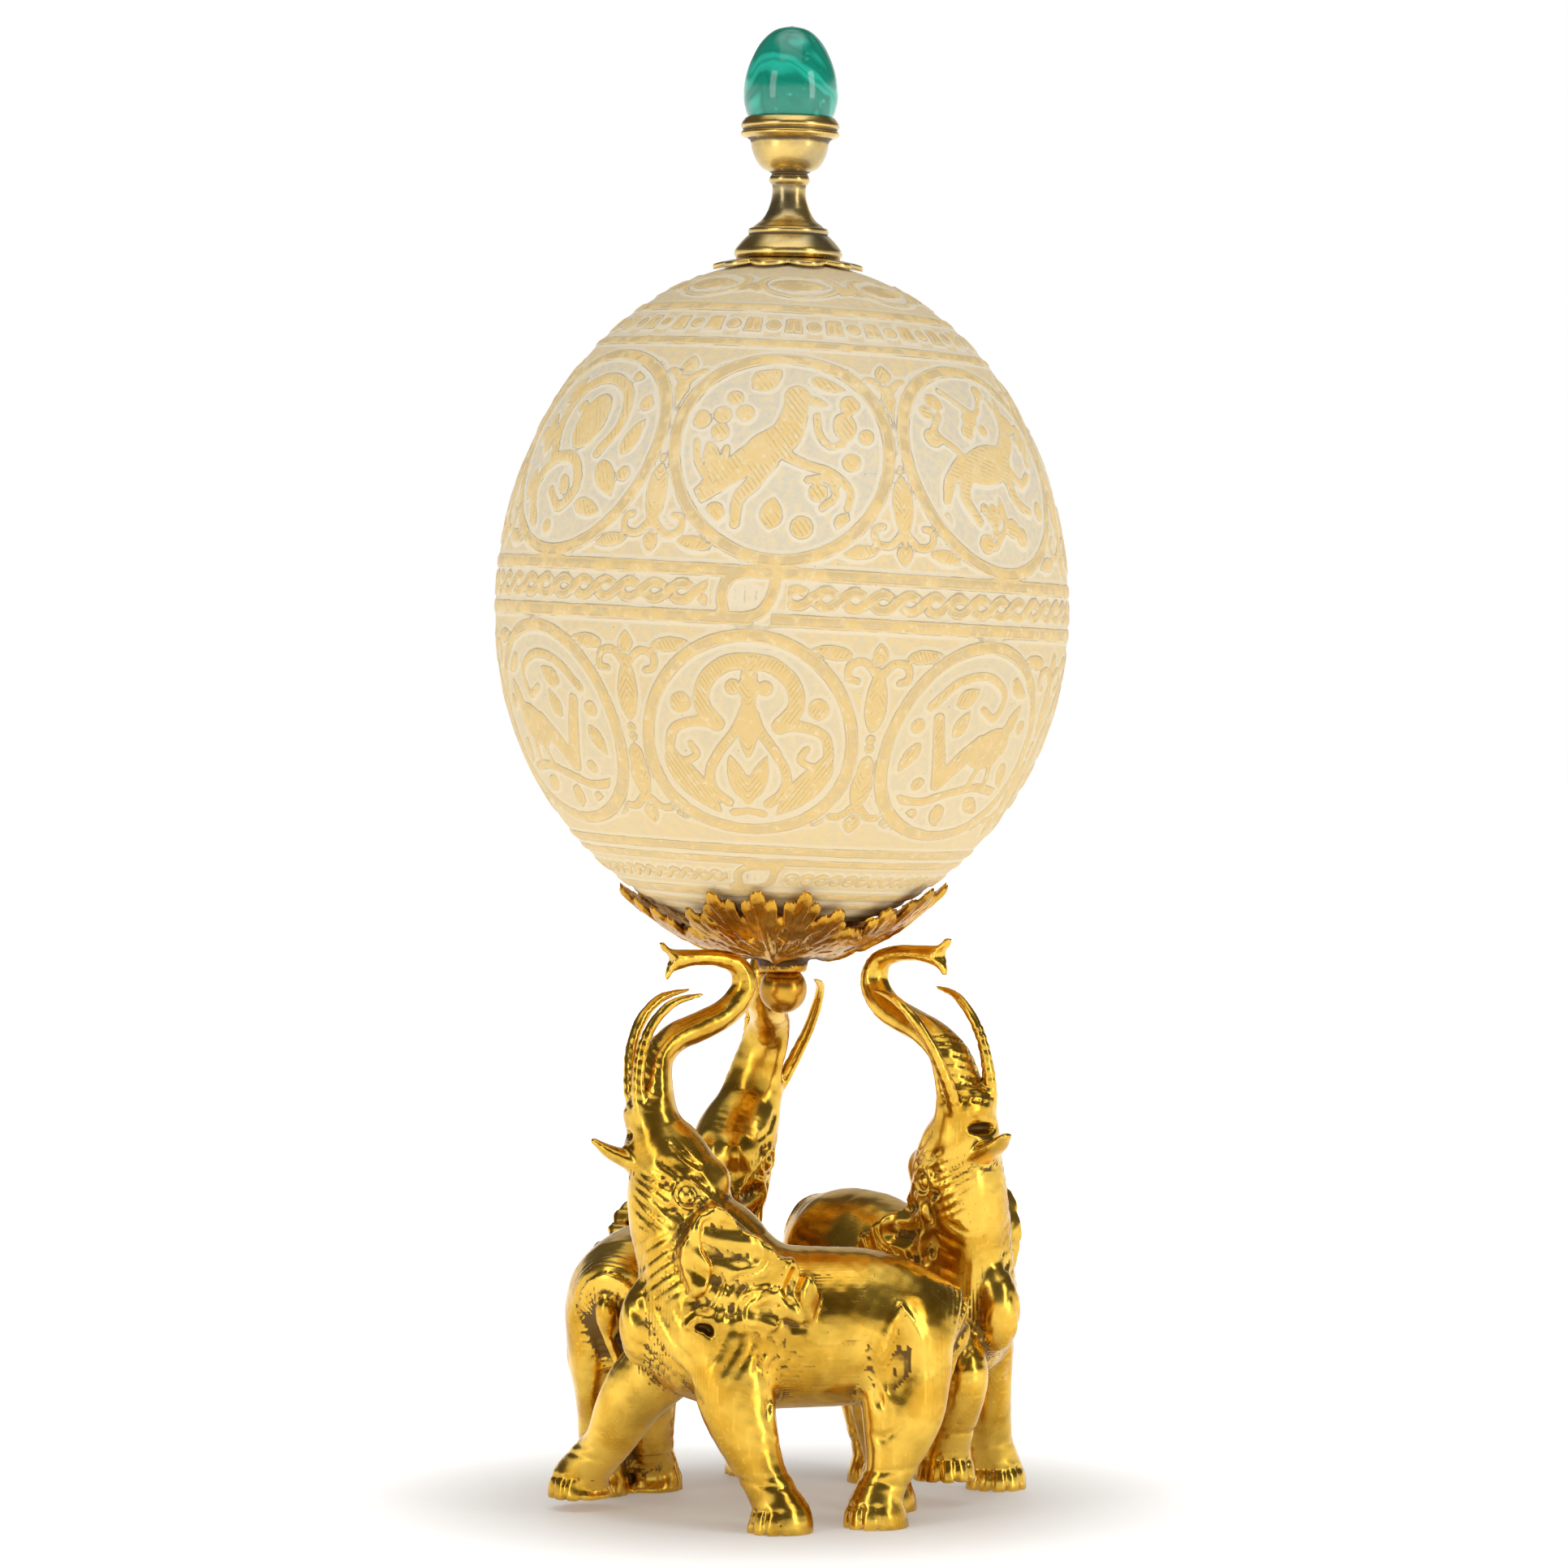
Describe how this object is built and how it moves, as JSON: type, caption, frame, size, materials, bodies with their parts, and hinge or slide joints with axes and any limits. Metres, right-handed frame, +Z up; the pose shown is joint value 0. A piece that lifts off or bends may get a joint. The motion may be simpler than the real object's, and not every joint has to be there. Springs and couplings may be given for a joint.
{
  "type": "carved ostrich egg on elephant stand",
  "caption": "Carved ostrich egg in a cup of cast leaves, carried on the raised trunks of cast elephants and topped by a gilt finial holding a polished malachite egg.",
  "frame": {"origin": "on the ground under the middle of the whole ornament's box", "axes": "+Z up through the egg, -Y towards the viewer of the picture, +X to the viewer's right"},
  "size_m": [0.1274, 0.1274, 0.3273],
  "materials": {
    "gilt_bronze": "polished gilt bronze with brown patina in the recesses",
    "aged_brass": "cast brass, bright on the edges and brown in the hollows",
    "eggshell": "carved ostrich shell, cream and slightly glossy on the raised parts",
    "worn_gilding": "worn gilding with grey patina",
    "malachite": "polished malachite with darker bands"
  },
  "bodies": {
    "root": {"elephant_front": "gilt_bronze", "elephant_right": "gilt_bronze", "elephant_left": "gilt_bronze", "leaf_cup": "aged_brass", "ball_nut": "aged_brass", "ostrich_egg": "eggshell", "scalloped_cap": "worn_gilding", "finial_stem_cup": "worn_gilding", "malachite_egg": "malachite"}
  },
  "joints": []
}
